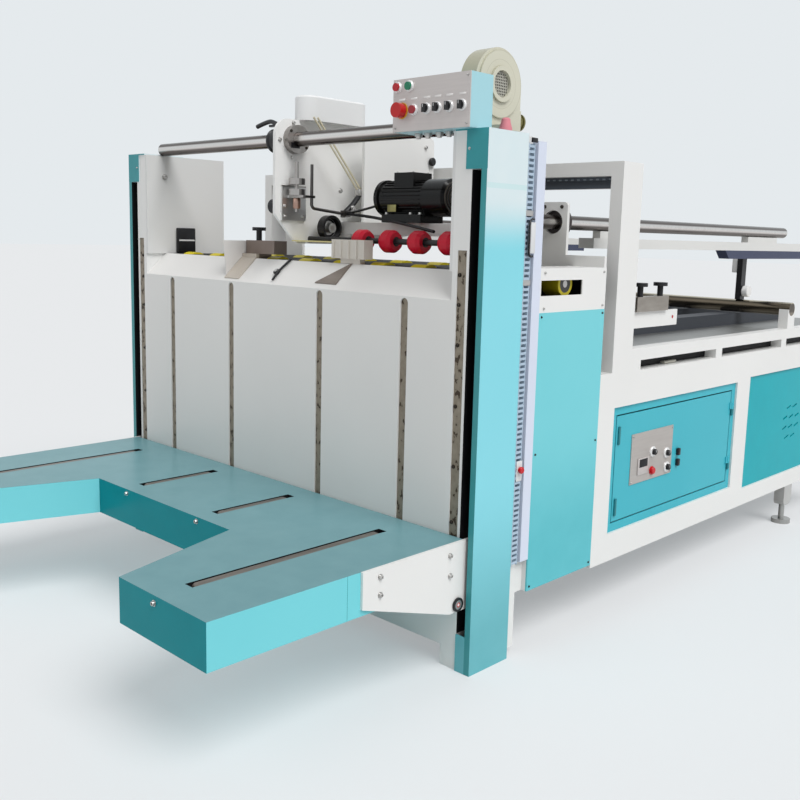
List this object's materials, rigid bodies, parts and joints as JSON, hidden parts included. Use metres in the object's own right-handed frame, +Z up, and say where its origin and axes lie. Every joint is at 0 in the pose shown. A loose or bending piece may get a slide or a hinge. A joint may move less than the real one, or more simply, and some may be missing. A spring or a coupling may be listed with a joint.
{
  "type": "folder gluer",
  "caption": "Folder gluer for box blanks: lift-table feeder between tall columns, feed head with blower, long belt bed with a portal and folding beams.",
  "frame": {"origin": "on the floor, under the middle of the machine's overall length and width", "axes": "+Z up; +Y along the machine, the way the blanks travel, away from the lift table; +X across it, towards the side with the control box"},
  "size_m": [1.836, 3.518, 1.737],
  "materials": {
    "white_paint": "satin",
    "teal_paint": "satin",
    "grey_paint": "satin",
    "chain_plastic": "matt",
    "cream_paint": "gloss",
    "black_paint": "satin",
    "guard_paint": "satin",
    "brushed_face": "brushed",
    "steel": "brushed",
    "worn_steel": "worn",
    "chrome": "polished",
    "red_rubber": "matt",
    "yellow_rubber": "matt",
    "dark_belt": "matt",
    "black_plastic": "matt"
  },
  "bodies": {
    "machine": {"posts": "white_paint", "column_covers": "teal_paint", "guide_strips": "worn_steel", "side_plates": "white_paint", "front_plate": "white_paint", "feed_bed": "steel", "feeder_housings": "white_paint", "gear_covers": "white_paint", "drag_chains": "chain_plastic", "chain_guards": "guard_paint", "tubes": "chrome", "head_plate": "white_paint", "tube_fittings": "steel", "belt_cover": "white_paint", "cross_beam": "white_paint", "feed_motor": "black_paint", "head_adjuster": "steel", "blank_guides": "cream_paint", "clamp_knobs": "black_plastic", "control_box": "teal_paint", "control_face": "brushed_face", "control_devices": "black_plastic", "blower": "cream_paint", "side_frames": "white_paint", "side_panels": "teal_paint", "door_surround": "teal_paint", "door_hinges": "steel", "cabinet_box": "grey_paint", "bed_plate": "steel", "conveyor_belts": "dark_belt", "portal": "white_paint", "portal_rail": "black_paint", "body_feet": "grey_paint", "bearing_plates": "white_paint", "tube_bearings": "black_paint", "fold_beams": "white_paint", "beam_posts": "black_paint", "cross_rod": "chrome", "frame_blocks": "white_paint", "rail_blocks": "steel"},
    "table": {"lift_table": "teal_paint", "table_belts": "dark_belt", "table_brackets": "white_paint"},
    "right_wheel": {"right_guide_wheel": "black_plastic"},
    "left_wheel": {"left_guide_wheel": "black_plastic"},
    "door": {"cabinet_door": "teal_paint", "door_plate": "brushed_face"},
    "pulley": {"drive_pulley": "black_plastic"},
    "press_shaft": {"press_rollers": "red_rubber"},
    "front_wheel_shaft": {"front_feed_wheels": "yellow_rubber"},
    "rear_wheel_shaft": {"rear_feed_wheels": "yellow_rubber"},
    "lever": {"clamp_lever": "black_plastic"}
  },
  "joints": [
    {"name": "table_lift", "type": "slide", "parent": "machine", "child": "table", "axis": [0, 0, 1], "range_m": [-0.075, 0.64]},
    {"name": "right_wheel_spin", "type": "hinge", "parent": "table", "child": "right_wheel", "pos_m": [0.8735, -0.944, 0.213], "axis": [1, 0, 0], "continuous": true},
    {"name": "left_wheel_spin", "type": "hinge", "parent": "table", "child": "left_wheel", "pos_m": [-0.8735, -0.944, 0.213], "axis": [1, 0, 0], "continuous": true},
    {"name": "door_hinge", "type": "hinge", "parent": "machine", "child": "door", "pos_m": [0.8965, 0.633, 0.479], "axis": [0, 0, 1], "range_deg": [0, 110]},
    {"name": "press_roller_spin", "type": "hinge", "parent": "machine", "child": "press_shaft", "pos_m": [0.457, -0.764, 1.203], "axis": [1, 0, 0], "continuous": true},
    {"name": "front_wheel_spin", "type": "hinge", "parent": "machine", "child": "front_wheel_shaft", "pos_m": [0, -0.773, 1.093], "axis": [1, 0, 0], "continuous": true},
    {"name": "rear_wheel_spin", "type": "hinge", "parent": "machine", "child": "rear_wheel_shaft", "pos_m": [0, -0.514, 1.093], "axis": [1, 0, 0], "continuous": true},
    {"name": "pulley_spin", "type": "hinge", "parent": "machine", "child": "pulley", "pos_m": [0.055, -0.717, 1.241], "axis": [1, 0, 0], "continuous": true},
    {"name": "lever_turn", "type": "hinge", "parent": "machine", "child": "lever", "pos_m": [-0.024, -0.834, 1.573], "axis": [0, 0, 1], "range_deg": [-60, 60]}
  ],
  "couplings": [
    {"joint": "rear_wheel_spin", "follows": "front_wheel_spin", "ratio": 1}
  ]
}
